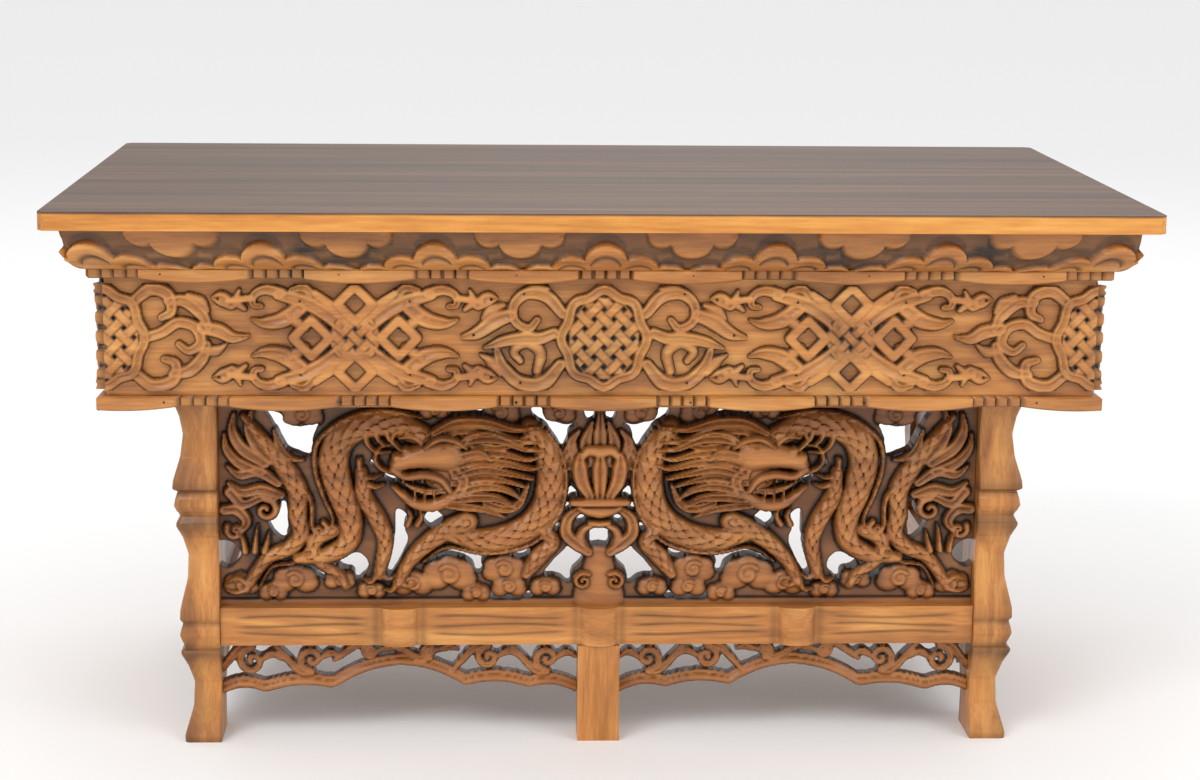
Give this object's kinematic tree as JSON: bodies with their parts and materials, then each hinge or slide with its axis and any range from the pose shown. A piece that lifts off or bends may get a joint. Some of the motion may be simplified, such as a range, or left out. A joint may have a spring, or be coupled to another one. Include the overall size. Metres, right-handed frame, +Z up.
{
  "type": "folding altar table",
  "caption": "Low rectangular altar table: wide top on a carved frieze box, pierced carved front frame and folding side frames.",
  "frame": {"origin": "on the floor, under the middle of the top board", "axes": "+X to the table's right along its length, -Y towards the front, +Z up"},
  "size_m": [0.66, 0.4, 0.34],
  "materials": {
    "top_board": "satin",
    "box_wood": "satin varnish",
    "leg_wood": "satin varnish",
    "carved_wood": "satin varnish with scorched edges",
    "hinge_brass": "dull"
  },
  "bodies": {
    "root": {"table_top": "top_board", "cornice_front": "box_wood", "cornice_right": "box_wood", "cornice_back": "box_wood", "cornice_left": "box_wood", "upper_strip_front": "box_wood", "upper_strip_right": "box_wood", "upper_strip_back": "box_wood", "upper_strip_left": "box_wood", "frieze_front": "box_wood", "frieze_right": "box_wood", "frieze_back": "box_wood", "frieze_left": "box_wood", "lower_strip_front": "box_wood", "lower_strip_right": "box_wood", "lower_strip_back": "box_wood", "lower_strip_left": "box_wood", "top_batten_left": "box_wood", "top_batten_right": "box_wood", "medallion_front": "carved_wood", "knot_cross_front_left": "carved_wood", "knot_cross_front_right": "carved_wood", "corner_scroll_front_left": "carved_wood", "corner_scroll_front_right": "carved_wood", "knot_cross_right": "carved_wood", "knot_cross_left": "carved_wood", "corner_scroll_right_front": "carved_wood", "corner_scroll_left_front": "carved_wood", "corner_scroll_left_rear": "carved_wood", "corner_scroll_right_rear": "carved_wood", "front_post_right": "leg_wood", "front_post_left": "leg_wood", "front_rail": "leg_wood", "front_top_rail": "leg_wood", "centre_foot": "leg_wood", "dragon_panel": "carved_wood", "scroll_apron_left": "carved_wood", "scroll_apron_right": "carved_wood", "hinge_fixed_leaf_right_front": "hinge_brass", "hinge_fixed_leaf_left_front": "hinge_brass", "hinge_fixed_leaf_right_rear": "hinge_brass", "hinge_fixed_leaf_left_rear": "hinge_brass"},
    "right_side_frame": {"rear_post_right": "leg_wood", "side_front_stile_right": "leg_wood", "side_top_rail_right": "leg_wood", "side_rail_right": "leg_wood", "side_panel_right": "carved_wood", "side_apron_right": "carved_wood", "hinge_moving_leaf_right_front": "hinge_brass", "hinge_moving_leaf_right_rear": "hinge_brass"},
    "left_side_frame": {"rear_post_left": "leg_wood", "side_front_stile_left": "leg_wood", "side_top_rail_left": "leg_wood", "side_rail_left": "leg_wood", "side_panel_left": "carved_wood", "side_apron_left": "carved_wood", "hinge_moving_leaf_left_front": "hinge_brass", "hinge_moving_leaf_left_rear": "hinge_brass"}
  },
  "joints": [
    {"name": "right_side_fold", "type": "hinge", "parent": "root", "child": "right_side_frame", "pos_m": [0.231, 0, 0.215], "axis": [0, 1, 0], "range_deg": [0, 90]},
    {"name": "left_side_fold", "type": "hinge", "parent": "root", "child": "left_side_frame", "pos_m": [-0.231, 0, 0.215], "axis": [0, -1, 0], "range_deg": [0, 90]}
  ]
}
